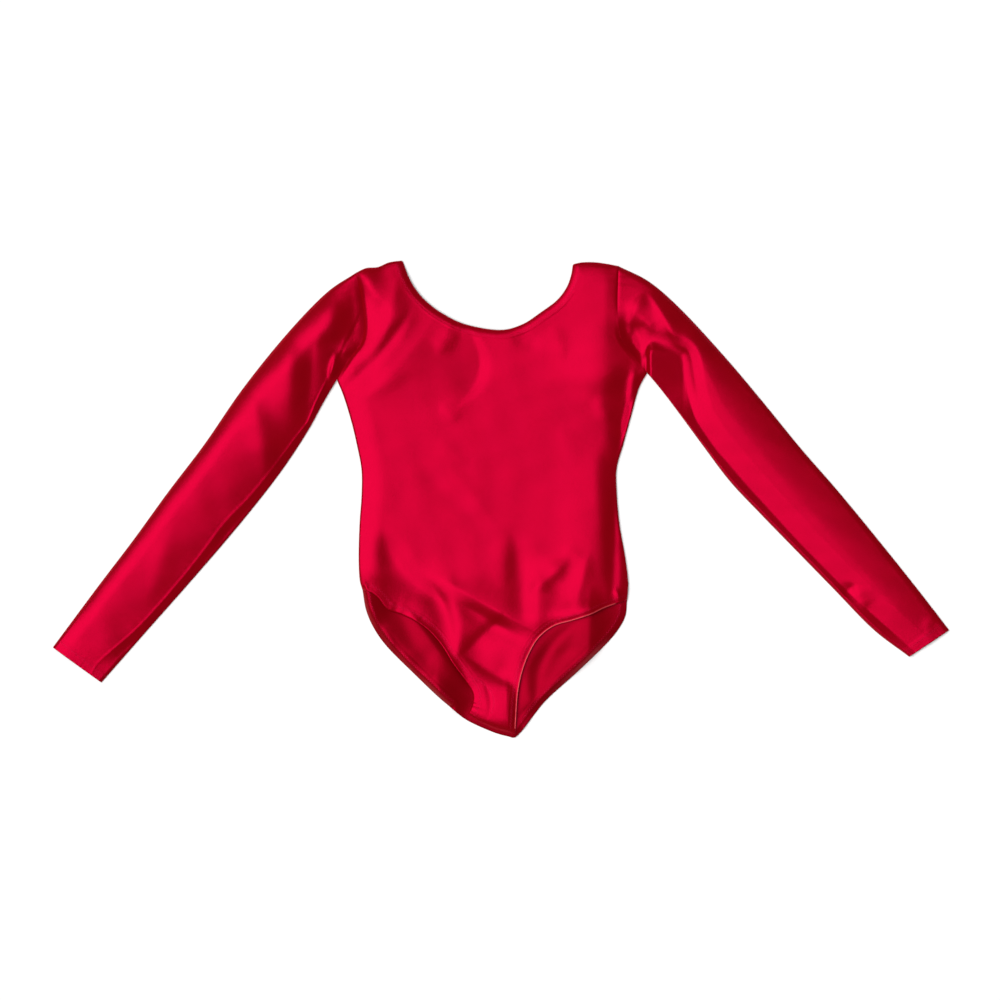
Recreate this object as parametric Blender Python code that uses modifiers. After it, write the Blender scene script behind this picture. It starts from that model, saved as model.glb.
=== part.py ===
# A girl's long-sleeved leotard, lying face up on a flat surface with its neck towards +Y.
# Sizes in the tables are millimetres. The origin is under the middle of the garment, on the surface.
from collections import namedtuple

import bmesh
import bpy
import numpy as np

MM = 0.001                # one millimetre in Blender's metres
WALL = 1.2                # thickness of every cloth wall
LAYER_GAP = 0.4           # air between the front's edges and the back panel under them
SEAM_GAP = 0.4            # air between a sleeve and the body along the armhole
FRONT_EDGE = 2 * WALL + LAYER_GAP   # height of the front's upper side at its seams
LOFT = 2.6                # how far the front and the sleeves stand above that height
SEAM_ROLL = 24.0          # distance over which the front rises from a seam
FREE_ROLL = 14.0          # the same from the neckline and the leg openings
FREE_LOFT = 0.45          # share of the loft that is left at a neckline or leg edge
FOLD_FADE = 0.3           # share of a fold's length over which each end fades out
FOLD_REACH = 2.4          # a fold ends this many widths from its crest
SLEEVE_LIP = 1.4          # height of the fold line along a flattened sleeve's edges
LIP_ROLL = 4.0            # distance over which a sleeve's edge rounds over
LIP_INSET = 2.2           # distance from a sleeve's edge to the fold line of its inner side
HEM_CURL = 1.6            # how far the seat's free leg edges lift off the surface
CURL_WIDTH = 16.0         # width of that lifted edge
HIP_LINE = -112.0         # the seat lies flat above this line
HIP_FADE = 24.0
CROTCH = (-10.0, -240.0)  # middle of the crotch, where the seat's edge isn't lifted
CROTCH_FADE = 34.0

SHOULDER_COLUMNS = 4      # columns of the body's grid along each shoulder seam
NECK_COLUMNS = 20
ARMHOLE_ROWS = 8          # rows of the body's grid beside each armhole
SIDE_ROWS = 18            # rows of it beside each side seam
LEG_ROWS = 15             # rows of it between the leg openings
SLEEVE_SECTIONS = 26      # sections along a sleeve
LIP_SHARES = (0.0, 0.014, 0.05)     # places across a sleeve where its rounded edges are cut
CURVE_STEPS = 120         # points on a curve that distances are taken from

CLOTH_COLOUR = (0.62, 0.004, 0.035, 1.0)
INSIDE_COLOUR = (0.50, 0.004, 0.028, 1.0)

Point = namedtuple("Point", "x y")
Pair = namedtuple("Pair", "left_x left_y right_x right_y")
Section = namedtuple("Section", "upper_x upper_y under_x under_y")
# A fold runs from (x0, y0) to (x1, y1), bowed sideways; left and right are its widths on either hand.
Fold = namedtuple("Fold", "x0 y0 x1 y1 bow height left right")

LEFT_SHOULDER = [Point(-152, 237), Point(-141, 242), Point(-129, 243), Point(-117, 248), Point(-103, 250)]
RIGHT_SHOULDER = [Point(76, 246), Point(86, 248), Point(100, 248), Point(114, 246), Point(124, 244)]
FRONT_NECK = [
    Point(-103, 250), Point(-97, 234), Point(-90, 221), Point(-79, 208), Point(-62, 195), Point(-37, 183),
    Point(-1, 177), Point(23, 183), Point(43, 196), Point(59, 208), Point(69, 221), Point(74, 234), Point(76, 246),
]
BACK_NECK = [
    Point(-103, 250), Point(-98, 230), Point(-88, 209), Point(-64, 184), Point(-35, 171),
    Point(-5, 166), Point(22, 171), Point(46, 184), Point(66, 209), Point(74, 230), Point(76, 246),
]
ARMHOLES = [
    Pair(-152, 237, 124, 244),
    Pair(-146, 211, 123, 218),
    Pair(-143, 184, 123, 191),
    Pair(-146, 164, 126, 169),
    Pair(-157, 149, 138, 152),
    Pair(-172, 125, 154, 132),
]
SIDE_SEAMS = [
    Pair(-172, 125, 154, 132),
    Pair(-165, 108, 145, 115),
    Pair(-157, 82, 137, 86),
    Pair(-151, 57, 129, 57),
    Pair(-146, 30, 122, 32),
    Pair(-146, 2, 122, 7),
    Pair(-148, -26, 125, -27),
    Pair(-149, -60, 131, -62),
    Pair(-148, -84, 134, -88),
    Pair(-145, -96, 133, -107),
]
FRONT_LEFT_LEG = [
    Point(-145, -96), Point(-135, -99), Point(-127, -106), Point(-119, -116), Point(-104, -122), Point(-89, -129),
    Point(-75, -139), Point(-62, -154), Point(-50, -173), Point(-37, -191), Point(-29, -205), Point(-30, -218),
    Point(-34, -226),
]
FRONT_RIGHT_LEG = [
    Point(133, -107), Point(110, -115), Point(95, -122), Point(77, -128), Point(57, -134), Point(42, -145),
    Point(32, -160), Point(24, -180), Point(19, -203), Point(17, -229), Point(16, -248),
]
BACK_LEFT_LEG = [
    Point(-145, -96), Point(-141, -118), Point(-132, -138), Point(-118, -157), Point(-93, -182), Point(-67, -207),
    Point(-53, -219),
]
BACK_RIGHT_LEG = [
    Point(133, -107), Point(131, -124), Point(122, -140), Point(107, -157), Point(81, -182), Point(53, -207),
    Point(41, -220), Point(22, -245),
]
FRONT_CROTCH = [Point(-34, -226), Point(-22, -235), Point(-4, -243), Point(16, -248)]
BACK_CROTCH = [Point(-53, -219), Point(-35, -233), Point(-9, -245), Point(8, -250), Point(15, -251), Point(22, -245)]

FRONT_FOLDS = [
    Fold(-112, 232, -134, 150, -6, 1.6, 14, 11),     # crest down the left strap
    Fold(-88, 212, -158, 120, 6, -2.4, 9, 10),       # valley from the neckline to the left underarm
    Fold(-62, 198, -138, 106, 8, 2.0, 11, 13),       # crest beside it
    Fold(-44, 188, -96, 118, 4, -1.2, 10, 14),       # second, softer valley
    Fold(68, 190, 122, 184, 3, 1.6, 12, 16),         # crest across the right strap
    Fold(112, 214, 138, 128, 4, -2.6, 14, 12),       # hollow beside the right armhole
    Fold(-130, -30, -60, -134, 16, -2.6, 11, 9),     # valley inside the left leg edge
    Fold(-82, -82, 40, -136, 6, 2.6, 16, 7),         # long crease under the belly
    Fold(-70, -108, 30, -156, 4, -2.0, 9, 10),       # trough under that crease
    Fold(17, -44, 22, -128, 2, -2.4, 9, 8),          # upright valley on the belly
    Fold(36, -16, 44, -124, -4, 1.8, 9, 10),         # crest to its right
    Fold(66, -60, 58, -122, 4, -1.8, 8, 9),
    Fold(84, -50, 88, -118, -4, 1.6, 9, 10),
    Fold(104, 10, 106, -106, 4, -1.4, 12, 14),       # fall towards the right side
    Fold(-52, -150, -24, -200, -3, 1.6, 9, 8),       # crest along the left leg hem
    Fold(-34, -150, 8, -178, -4, -1.6, 8, 9),        # dent over the crotch
]
SEAT_FOLDS = [
    Fold(-128, -128, -66, -196, 4, 2.2, 9, 12),      # lifted cloth inside the left leg opening
    Fold(-96, -134, -52, -176, 3, -0.8, 8, 8),
    Fold(60, -140, 100, -152, 3, 1.8, 10, 12),       # lifted cloth inside the right leg opening
]

LEFT_SLEEVE = [
    Section(-152, 237, -172, 125),
    Section(-184, 215, -186, 101),
    Section(-226, 171, -203, 70),
    Section(-271, 115, -228, 32),
    Section(-311, 57, -257, -6),
    Section(-349, 7, -290, -46),
    Section(-386, -44, -329, -91),
    Section(-424, -94, -368, -135),
    Section(-470, -156, -419, -193),
]
RIGHT_SLEEVE = [
    Section(124, 244, 154, 132),
    Section(157, 227, 169, 114),
    Section(192, 196, 188, 89),
    Section(237, 147, 213, 55),
    Section(275, 102, 241, 18),
    Section(315, 53, 272, -15),
    Section(355, 7, 308, -52),
    Section(397, -44, 349, -94),
    Section(437, -94, 391, -137),
    Section(471, -138, 429, -166),
]
LEFT_SLEEVE_FOLDS = [
    Fold(-186, 196, -452, -146, -6, 1.6, 16, 12),    # long crest near the upper edge
    Fold(-164, 196, -192, 96, 4, -1.8, 14, 12),      # hollow below the sleeve head
    Fold(-196, 118, -262, 54, 5, 1.4, 8, 9),         # crest across the elbow side
    Fold(-178, 112, -240, 8, 3, -1.4, 8, 8),         # valley along the underarm seam
]
RIGHT_SLEEVE_FOLDS = [
    Fold(176, 168, 440, -136, 6, 1.8, 16, 18),       # long crest down the middle
    Fold(136, 196, 162, 150, 4, 1.8, 8, 9),          # crumpled crest in the sleeve head
    Fold(152, 204, 150, 150, -3, -1.6, 7, 8),
    Fold(163, 154, 214, 64, 8, -2.2, 12, 12),        # hollow where the cloth folds under
]


def smooth_curve(points, spans):
    """Catmull-Rom curve through the points, cut into spans of equal length."""
    p = np.array(points, float)
    p = np.vstack([2 * p[0] - p[1], p, 2 * p[-1] - p[-2]])
    t = np.linspace(0, 1, 12, endpoint=False)[:, None]
    pieces = []
    for a, b, c, d in zip(p, p[1:], p[2:], p[3:]):
        pieces.append(b + 0.5 * t * (c - a + t * (2 * a - 5 * b + 4 * c - d + t * (3 * (b - c) + d - a))))
    fine = np.vstack([*pieces, p[-2]])
    along = np.concatenate([[0], np.cumsum(np.linalg.norm(np.diff(fine, axis=0), axis=1))])
    stops = np.linspace(0, along[-1], spans + 1)
    return np.column_stack([np.interp(stops, along, fine[:, k]) for k in range(fine.shape[1])])


def joined(*curves):
    """One polyline from curves that follow each other, each shared end kept once."""
    return np.vstack([curves[0], *[c[1:] for c in curves[1:]]])


def shifted(curve, distance):
    """The curve moved sideways, to the right of its direction."""
    along = np.gradient(curve, axis=0)
    along /= np.linalg.norm(along, axis=1)[:, None]
    return curve + distance * np.column_stack([along[:, 1], -along[:, 0]])


def patch(top, bottom, left, right):
    """Plan of a panel between four edge curves: straight rows that bend towards the top and bottom curves."""
    u = np.linspace(0, 1, len(top))[None, :, None]
    v = np.linspace(0, 1, len(left))[:, None, None]
    rows = (1 - u) * left[:, None] + u * right[:, None]
    return rows + (1 - v) ** 3 * (top - rows[0]) + v ** 3 * (bottom - rows[-1])


def rise(distance, width):
    """0 at an edge, 1 from width inwards, steepest at the edge."""
    return 1 - (1 - np.clip(distance / width, 0, 1)) ** 2


def step(t):
    t = np.clip(t, 0, 1)
    return t * t * (3 - 2 * t)


def fold_heights(plan, folds):
    """Sum of the folds' heights over the points of a plan."""
    total = np.zeros(plan.shape[:-1])
    for f in folds:
        start = np.array([f.x0, f.y0], float)
        run = np.array([f.x1, f.y1], float) - start
        length = np.linalg.norm(run)
        run /= length
        from_start = plan - start
        t = from_start @ run / length
        aside = from_start @ np.array([-run[1], run[0]]) - 4 * f.bow * np.clip(t * (1 - t), 0, None)
        width = np.where(aside > 0, f.left, f.right)
        across = np.exp(-(aside / width) ** 2) * (np.abs(aside) < FOLD_REACH * width)
        total += f.height * across * step(t / FOLD_FADE) * step((1 - t) / FOLD_FADE)
    return total


def distance(plan, *curves):
    """Distance of each point of the plan to the nearest of the curves."""
    fine = np.vstack([smooth_curve(c, CURVE_STEPS) for c in curves])
    return np.linalg.norm(plan[..., None, :] - fine, axis=-1).min(axis=-1)


def side(table, first):
    """One side's points of a table of pairs."""
    return [row[first:first + 2] for row in table]


def body_plan(neck, legs, crotch):
    """Plan of a body panel: its rows run from side to side, its last row is the crotch seam."""
    top = joined(
        smooth_curve(LEFT_SHOULDER, SHOULDER_COLUMNS),
        smooth_curve(neck, NECK_COLUMNS),
        smooth_curve(RIGHT_SHOULDER, SHOULDER_COLUMNS),
    )
    bottom = smooth_curve(crotch, NECK_COLUMNS + 2 * SHOULDER_COLUMNS)
    left, right = [
        joined(
            smooth_curve(side(ARMHOLES, first), ARMHOLE_ROWS),
            smooth_curve(side(SIDE_SEAMS, first), SIDE_ROWS),
            smooth_curve(leg, LEG_ROWS),
        )
        for first, leg in zip((0, 2), legs)
    ]
    return patch(top, bottom, left, right)


def seat_lift(plan):
    """Height of the back panel's underside: flat on the surface but for the cloth in the leg openings."""
    below_hips = step((HIP_LINE - plan[..., 1]) / HIP_FADE)
    clear_of_crotch = step(np.linalg.norm(plan - CROTCH, axis=-1) / CROTCH_FADE - 1)
    curl = HEM_CURL * (1 - rise(distance(plan, BACK_LEFT_LEG, BACK_RIGHT_LEG), CURL_WIDTH)) * clear_of_crotch
    return np.clip(below_hips * (curl + fold_heights(plan, SEAT_FOLDS)), 0, None)


def front_height(plan):
    """Height of the front panel's upper side above the seat's lift."""
    flanks = [side(table, first) for table in (ARMHOLES, SIDE_SEAMS) for first in (0, 2)]
    from_seams = rise(distance(plan, LEFT_SHOULDER, RIGHT_SHOULDER, FRONT_CROTCH, *flanks), SEAM_ROLL)
    from_free = rise(distance(plan, FRONT_NECK, FRONT_LEFT_LEG, FRONT_RIGHT_LEG), FREE_ROLL)
    loft = from_seams * (FREE_LOFT + (1 - FREE_LOFT) * from_free)
    folds = fold_heights(plan, FRONT_FOLDS) * from_seams
    return FRONT_EDGE + np.clip(LOFT * loft + folds, 0, None)


def material(name, colour):
    cloth = bpy.data.materials.new(name)
    cloth.use_nodes = True
    shader = cloth.node_tree.nodes["Principled BSDF"]
    shader.inputs["Base Color"].default_value = colour
    shader.inputs["Roughness"].default_value = 0.42
    shader.inputs["Sheen Weight"].default_value = 0.3
    return cloth


def panel_mesh(points):
    """A flat grid whose points are moved to their places."""
    rows, columns = points.shape[:2]
    mesh = bmesh.new()
    bmesh.ops.create_grid(mesh, x_segments=columns - 1, y_segments=rows - 1, size=1)
    for vertex, place in zip(mesh.verts, points[::-1].reshape(-1, 3)):
        vertex.co = place * MM
    return mesh


def tube_mesh(rings):
    """A loft through rings of points, closed from the last ring to the first."""
    mesh = bmesh.new()
    rings = [[mesh.verts.new(place * MM) for place in ring] for ring in rings]
    for ring, following in zip(rings, rings[1:] + rings[:1]):
        for a, b, c, d in zip(ring, following, following[1:] + following[:1], ring[1:] + ring[:1]):
            mesh.faces.new((a, b, c, d))
    return mesh


def piece(name, mesh, cloth, parent):
    data = bpy.data.meshes.new(name)
    mesh.to_mesh(data)
    mesh.free()
    data.shade_smooth()
    data.materials.append(cloth)
    panel = bpy.data.objects.new(name, data)
    parent.users_collection[0].objects.link(panel)
    panel.parent = parent
    return panel


def panel_wall(panel, offset):
    wall = panel.modifiers.new("wall", "SOLIDIFY")
    wall.thickness = WALL * MM
    wall.offset = offset
    wall.use_even_offset = True


def front_panel(cloth, parent):
    plan = body_plan(FRONT_NECK, (FRONT_LEFT_LEG, FRONT_RIGHT_LEG), FRONT_CROTCH)
    points = np.dstack([plan, front_height(plan) + seat_lift(plan)])
    panel_wall(piece("front_panel", panel_mesh(points), cloth, parent), -1)


def back_panel(cloth, parent):
    plan = body_plan(BACK_NECK, (BACK_LEFT_LEG, BACK_RIGHT_LEG), BACK_CROTCH)
    points = np.dstack([plan, seat_lift(plan)])
    panel_wall(piece("back_panel", panel_mesh(points), cloth, parent), 1)


def sleeve_plan(sections, armhole, outwards):
    """Plan of a flattened sleeve: a row a section, from the upper edge to the underarm."""
    seam = shifted(smooth_curve(armhole, ARMHOLE_ROWS), outwards * SEAM_GAP)
    upper = smooth_curve([s[0:2] for s in sections], SLEEVE_SECTIONS)
    under = smooth_curve([s[2:4] for s in sections], SLEEVE_SECTIONS)
    upper[0], under[0] = seam[0], seam[-1]
    across = np.linspace(0, 1, ARMHOLE_ROWS + 1)[None, :, None]
    bow = seam - (1 - across[0]) * seam[0] - across[0] * seam[-1]
    fade = 1 - step(np.linspace(0, 2.2, SLEEVE_SECTIONS + 1))[:, None, None]
    return (1 - across) * upper[:, None] + across * under[:, None] + fade * bow


def sleeve_surface(plan, folds, inside):
    """Rings of points round a sleeve: over its upper side to the underarm, and back underneath."""
    span = np.linalg.norm(plan[:, -1] - plan[:, 0], axis=1)[:, None]
    inset = LIP_INSET / span if inside else 0 * span
    shares = np.linspace(0, 1, plan.shape[1])
    shares = np.unique([*shares, *LIP_SHARES, *[1 - s for s in LIP_SHARES]])
    places = (inset + shares * (1 - 2 * inset)) * (plan.shape[1] - 1)
    column = np.clip(places.astype(int), 0, plan.shape[1] - 2)
    rows = np.arange(len(plan))[:, None]
    part = (places - column)[..., None]
    spots = (1 - part) * plan[rows, column] + part * plan[rows, column + 1]
    from_upper = np.linalg.norm(spots - plan[:, :1], axis=-1)
    from_under = np.linalg.norm(spots - plan[:, -1:], axis=-1)
    lip = rise(np.minimum(from_upper, from_under), LIP_ROLL)
    loft = rise(from_upper, SEAM_ROLL) * rise(from_under, SEAM_ROLL)
    over = SLEEVE_LIP + (FRONT_EDGE - SLEEVE_LIP) * lip + loft * np.clip(LOFT + fold_heights(spots, folds), 0, None)
    beneath = SLEEVE_LIP * (1 - lip)
    if inside:
        over, beneath = over - WALL, beneath + WALL
        over[:, 0] = over[:, -1] = SLEEVE_LIP
    underside = np.dstack([spots, beneath])[:, -2:0:-1]
    return np.concatenate([np.dstack([spots, over]), underside], axis=1)


def sleeve(name, sections, armhole, folds, outwards, cloth, parent):
    plan = sleeve_plan(sections, armhole, outwards)
    outer = sleeve_surface(plan, folds, False)
    inner = sleeve_surface(plan, folds, True)
    wall = np.vstack([outer, inner[::-1]])
    piece(name, tube_mesh(wall[:, ::outwards]), cloth, parent)


def main():
    for old in list(bpy.data.objects):
        bpy.data.objects.remove(old)
    garment = bpy.data.collections.new("long_sleeve_leotard")
    bpy.context.scene.collection.children.link(garment)
    rest = bpy.data.objects.new("leotard", None)
    garment.objects.link(rest)
    cloth = material("red_stretch_satin", CLOTH_COLOUR)
    inside = material("red_cloth_inside", INSIDE_COLOUR)
    back_panel(inside, rest)
    front_panel(cloth, rest)
    sleeve("sleeve_left", LEFT_SLEEVE, side(ARMHOLES, 0), LEFT_SLEEVE_FOLDS, 1, cloth, rest)
    sleeve("sleeve_right", RIGHT_SLEEVE, side(ARMHOLES, 2), RIGHT_SLEEVE_FOLDS, -1, cloth, rest)


main()
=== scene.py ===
from math import pi, radians

import bpy
import numpy as np
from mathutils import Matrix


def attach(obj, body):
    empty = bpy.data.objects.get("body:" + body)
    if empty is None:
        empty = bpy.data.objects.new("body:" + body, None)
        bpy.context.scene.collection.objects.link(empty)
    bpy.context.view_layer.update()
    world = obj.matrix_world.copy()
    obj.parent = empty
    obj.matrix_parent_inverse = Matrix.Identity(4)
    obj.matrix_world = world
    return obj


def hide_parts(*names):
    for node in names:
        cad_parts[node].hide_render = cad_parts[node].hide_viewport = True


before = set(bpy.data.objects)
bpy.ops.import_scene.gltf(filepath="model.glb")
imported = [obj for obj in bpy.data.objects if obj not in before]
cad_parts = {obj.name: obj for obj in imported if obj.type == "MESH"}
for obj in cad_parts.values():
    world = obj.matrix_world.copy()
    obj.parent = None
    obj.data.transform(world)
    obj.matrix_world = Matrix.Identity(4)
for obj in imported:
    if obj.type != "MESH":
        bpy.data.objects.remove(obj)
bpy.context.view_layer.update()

mm = 0.001      # sizes in the tables and formulas are millimetres

# The cloth of every piece
cloth = {
    "wall": 1.0,                # thickness of the shown cloth
    "foldDepth": 1.0,           # multiplies every fold
    "swell": 0.10,              # slow unevenness
}

# Edges of the cut pieces as they lie, seen from above
edges = {
    "leftShoulder": [(-152, 237), (-141, 242), (-129, 243), (-117, 248), (-103, 250)],
    "rightShoulder": [(76, 246), (86, 248), (100, 248), (114, 246), (124, 244)],
    "frontNeck": [
        (-103, 250), (-97, 234), (-90, 221), (-79, 208), (-62, 195), (-37, 183), (-1, 177),
        (23, 183), (43, 196), (59, 208), (69, 221), (74, 234), (76, 246),
    ],
    "backNeck": [
        (-103, 250), (-98, 230), (-88, 209), (-64, 184), (-35, 171), (-5, 166),
        (22, 171), (46, 184), (66, 209), (74, 230), (76, 246),
    ],
    "leftArmhole": [(-152, 237), (-146, 211), (-143, 184), (-146, 164), (-157, 149), (-172, 125)],
    "rightArmhole": [(124, 244), (123, 218), (123, 191), (126, 169), (138, 152), (154, 132)],
    "leftSide": [
        (-172, 125), (-165, 108), (-157, 82), (-151, 57), (-146, 30),
        (-146, 2), (-148, -26), (-149, -60), (-148, -84), (-145, -96),
    ],
    "rightSide": [
        (154, 132), (145, 115), (137, 86), (129, 57), (122, 32),
        (122, 7), (125, -27), (131, -62), (134, -88), (133, -107),
    ],
    "frontLeftLeg": [
        (-145, -96), (-135, -99), (-127, -106), (-119, -116), (-104, -122), (-89, -129), (-75, -139),
        (-62, -154), (-50, -173), (-37, -191), (-29, -205), (-30, -218), (-34, -226),
    ],
    "frontRightLeg": [
        (133, -107), (110, -115), (95, -122), (77, -128), (57, -134), (42, -145),
        (32, -160), (24, -180), (19, -203), (17, -229), (16, -248),
    ],
    "backLeftLeg": [
        (-145, -96), (-141, -118), (-132, -138), (-118, -157), (-93, -182), (-67, -207), (-53, -219),
    ],
    "backRightLeg": [
        (133, -107), (131, -124), (122, -140), (107, -157), (81, -182), (53, -207), (41, -220), (22, -245),
    ],
    "frontCrotch": [(-34, -226), (-22, -235), (-4, -243), (16, -248)],
    "backCrotch": [(-53, -219), (-35, -233), (-9, -245), (8, -250), (15, -251), (22, -245)],
}

# A sleeve's sections: upper edge x, y, then underarm x, y
leftSections = [
    (-152, 237, -172, 125), (-184, 215, -186, 101), (-226, 171, -203, 70), (-271, 115, -228, 32),
    (-311, 57, -257, -6), (-349, 7, -290, -46), (-386, -44, -329, -91), (-424, -94, -368, -135),
    (-470, -156, -419, -193),
]
rightSections = [
    (124, 244, 154, 132), (157, 227, 169, 114), (192, 196, 188, 89), (237, 147, 213, 55),
    (275, 102, 241, 18), (315, 53, 272, -15), (355, 7, 308, -52), (397, -44, 349, -94),
    (437, -94, 391, -137), (471, -138, 429, -166),
]

# A fold runs from its first x, y to its second x, y, and bow bends it to its left on that way.
# Then height, width to the left, width to the right and sharpness, 0 soft to 1 creased.
frontFolds = [
    (-156, 117, -108, 242, -14, 3.8, 13, 21, 0.2),    # crest of the left strap's fold
    (-110, 196, -151, 246, 3, 2.6, 9, 18, 0.2),       # where the strap's top falls away
    (-174, 107, -90, 204, -6, -2.0, 9, 7, 0.1),       # valley beside it
    (-152, 96, -64, 196, -7, 2.1, 13, 27, 0.2),       # crest from the underarm to the neckline
    (-158, 102, -90, 137, 0, 0.5, 12, 9, 0),          # faint crest below it
    (-67, 148, -47, 185, 0, 1.1, 10, 9, 0),           # short crest under the neckline
    (-53, 93, -40, 185, -25, -2.3, 24, 7, 0.4),       # bowed edge of the facet on the chest
    (108, 156, 109, 284, 0, 1.0, 32, 12, 0),          # crest down the right strap
    (106, 93, 106, 196, 0, 4.0, 36, 25, 0),           # fall towards the right armhole
    (124, 38, 137, 154, 0, -2.6, 17, 9, 0),           # valley along the right armhole
    (88, -149, 97, 82, -3, 2.0, 34, 20, 0),           # fall along the right side
    (118, -128, 119, 19, 0, -1.4, 8, 6, 0),           # valley beside the right seam
    (-55, -113, -127, -26, 15, -3.3, 18, 13, 0.1),    # valley inside the left leg
    (-51, -170, -82, -79, -9, -3, 16, 9, 0.1),        # its lower end
    (-46, -174, -55, -71, 0, 1.4, 12, 12, 0),         # upright crease
    (48, -146, -80, -75, 0, 3.8, 11, 26, 0.6),        # long crease under the belly
    (31, -154, -51, -107, 0, -1.7, 10, 8, 0),         # trough under it
    (-47, -172, 8, -120, 0, -2.2, 8, 16, 0.2),        # upper arm of the bent crease
    (23, -201, -45, -159, 0, -2.2, 8, 15, 0.2),       # lower arm of the bent crease
    (2, -98, 8, -33, 0, 0.8, 14, 11, 0.1),            # crest on the belly
    (25, -138, 10, -30, -4, -1.8, 14, 16, 0.1),       # valley beside it
    (40, -149, 39, -75, 0, 2.8, 14, 16, 0.2),         # lower part of the zigzag crease
    (27, -104, 75, -60, 0, 2.4, 12, 9, 0.3),          # its upper part
    (75, -125, 94, -52, 0, 1.7, 11, 8, 0.3),          # second zigzag crease
    (62, -49, 90, -65, 0, 0.5, 7, 7, 0.3),            # faint line above it
    (109, -115, 47, -123, 0, 1.4, 10, 12, 0),         # roll above the right leg
    (8, -264, 4, -180, 0, 3, 25, 9, 0),               # crest of the crotch
    (-15, -235, -20, -190, -7, -0.6, 4, 3, 0.2),      # curved line in the crotch
    (-14, -212, -32, -170, 0, 0.5, 10, 10, 0),        # low crest beside the left hem
    (-16, -38, -94, 46, 0, -0.5, 13, 10, 0),          # faint slanting valley
    (-1, -33, -64, 49, 0, 0.35, 8, 9, 0),             # faint crest beside it
    (67, 143, 54, 185, 0, 0.8, 14, 9, 0),             # soft mark below the neckline
    (46, 156, 8, 173, 0, -0.7, 8, 10, 0),             # soft mark beside it
    (-32, 30, -68, 66, 0, 0.35, 9, 9, 0),             # faint crest on the chest
    (83, 30, 62, 82, 0, 0.4, 10, 13, 0),              # faint crest on the right
    (-43, 77, -64, 103, 0, 0.6, 8, 10, 0.2),          # short mark on the left of the chest
    (129, -113, 119, -92, 0, 1.2, 4, 3, 0.3),         # pucker at the right hip
    (-138, -117, -143, -83, 0, 1, 3, 3, 0.3),         # pucker at the left hip
    (135, 95, 140, 139, 0, 1.6, 4, 6, 0),             # pucker below the right underarm
    (115, 77, 100, 109, 0, 0.7, 8, 8, 0),             # short mark on the right of the chest
]
leftFolds = [
    (-220, 70, -223, 175, 0, 2.4, 20, 17, 0.2),       # crest above the elbow hollow
    (-206, 66, -197, 171, 0, -1.3, 12, 8, 0.1),       # elbow hollow
    (-246, 17, -263, 112, -4, 2.4, 16, 17, 0.2),      # second crest
    (-368, -107, -341, -23, 0, 1, 12, 16, 0),         # crest lower down
    (-183, 156, -175, 217, 0, 1.2, 16, 12, 0),        # crest in the sleeve head
    (-155, 154, -158, 229, 0, -1.0, 14, 7, 0),        # valley along the armhole
    (-180, 120, -172, 155, 0, 2.8, 3, 11, 0.3),       # ridge at the underarm pucker
    (-174, 155, -143, 153, 0, 1.6, 8, 6, 0.3),        # ridge above it
    (-194, 158, -154, 173, 0, -1.1, 9, 9, 0),         # hollow in the sleeve head
]
rightFolds = [
    (135, 164, 153, 221, 4, 2, 6, 11, 0.2),           # crumpled crest
    (188, 154, 152, 221, -3, 1.8, 5, 10, 0.3),        # crest beside it
    (163, 173, 144, 196, 0, 0.8, 4, 5, 0.2),          # small crest between them
    (149, 133, 134, 202, 0, -2.8, 15, 8, 0),          # valley along the armhole
    (356, -107, 373, -88, 0, -1.2, 7, 5, 0.2),        # dent near the cuff
    (384, -119, 373, -90, 0, 0.9, 6, 9, 0.2),         # crest beside it
    (447, -144, 453, -121, 0, 0.5, 6, 6, 0),          # mark at the cuff
    (146, 129, 156, 160, 0, 1.2, 2, 3, 0.3),          # pucker at the underarm
]
seatFolds = [
    (-26, -243, -160, -83, 7, 5.2, 8, 18, 0),         # crest inside the left opening's rim
    (-30, -207, -103, -111, 0, 4, 14, 7, 0),          # light crest under the front's leg edge
    (-57, -247, -67, -159, 0, 6, 13, 21, 0),          # slope down to the foot of the left opening
    (-137, -149, -148, -60, 0, 7, 5, 18, 0),          # slope under the left hip
    (-113, -164, -122, -130, 0, 0.8, 5, 5, 0.2),      # crinkle on the rim
    (-83, -197, -103, -161, 0, 0.7, 6, 5, 0.2),       # another
    (-64, -201, -87, -172, 0, 0.6, 6, 6, 0.2),        # a third
    (6, -235, 119, -134, 0, 4.6, 30, 13, 0),          # crest inside the right opening's rim
    (92, -212, 94, -79, 0, 7.2, 44, 19, 0.5),         # crest before the fall at the right hip
    (37, -228, 90, -123, 17, -4.4, 12, 12, 0),        # hollow behind the front's right leg edge
]
# Hollows under the cloth, written as the folds are; they show from beneath
backFolds = [
    (-120, -70, -60, 60, 18, 0.8, 9, 16, 0.3),
    (-40, -150, 20, -20, -12, 0.9, 8, 14, 0.3),
    (95, -60, 60, 80, -10, 0.7, 12, 8, 0.2),
    (-130, 120, -40, 150, -8, 0.9, 8, 10, 0.3),
    (110, 130, 30, 150, 7, 0.7, 7, 10, 0.2),
    (-20, 20, 10, 140, 9, 0.5, 14, 10, 0),
    (20, -190, 90, -120, 6, 0.7, 8, 8, 0.3),
]
leftUnderFolds = [
    (-214, 84, -232, 150, 6, 0.9, 10, 14, 0.3),
    (-260, 22, -296, 66, -4, 0.7, 9, 9, 0.3),
    (-420, -120, -210, 140, -9, 0.5, 12, 12, 0),
    (-376, -118, -398, -74, 3, 0.6, 7, 9, 0.2),
]
rightUnderFolds = [
    (196, 98, 222, 150, -5, 0.9, 12, 9, 0.3),
    (250, 32, 292, 70, 5, 0.8, 8, 10, 0.3),
    (420, -120, 200, 150, 10, 0.5, 12, 12, 0),
    (330, -64, 372, -30, 3, 0.6, 9, 7, 0.2),
]
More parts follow.
